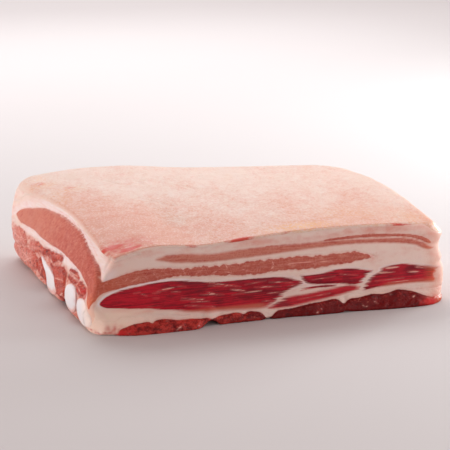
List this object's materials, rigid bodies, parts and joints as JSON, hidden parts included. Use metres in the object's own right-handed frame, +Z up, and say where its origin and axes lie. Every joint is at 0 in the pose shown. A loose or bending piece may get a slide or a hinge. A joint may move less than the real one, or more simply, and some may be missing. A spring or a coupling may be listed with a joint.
{
  "type": "pork belly slab",
  "caption": "Raw slab of pork belly lying skin side up, cut square, with layers of fat and lean that run through it and rib cartilage at one end.",
  "frame": {"origin": "centre of the slab's box at its underside", "axes": "+X along the long front cut, away from the rib end; +Y from the front cut to the back; +Z up through the skin"},
  "size_m": [0.2308, 0.1846, 0.0548],
  "materials": {
    "rind": "moist pale skin with fine pores",
    "fat": "moist cream fat",
    "lean_pink": "moist pink lean with fine fibres",
    "lean_red": "wet deep red lean with pale marbling",
    "lean_dark": "wet brown-red lean under a thin membrane",
    "cartilage": "smooth bluish-white gristle"
  },
  "bodies": {
    "root": {"fat_and_rind": "fat", "lean_upper": "lean_pink", "lean_middle": "lean_pink", "red_muscle_long": "lean_red", "red_muscle_mid": "lean_red", "red_muscle_low": "lean_red", "red_muscle_end": "lean_red", "under_muscle_1": "lean_dark", "under_muscle_2": "lean_dark", "under_muscle_3": "lean_dark", "under_muscle_4": "lean_dark", "cartilage_1": "cartilage", "cartilage_2": "cartilage", "cartilage_3": "cartilage", "rib_muscle_1": "lean_red", "rib_muscle_2": "lean_red", "rib_muscle_3": "lean_red", "rib_muscle_4": "lean_red"}
  },
  "joints": []
}
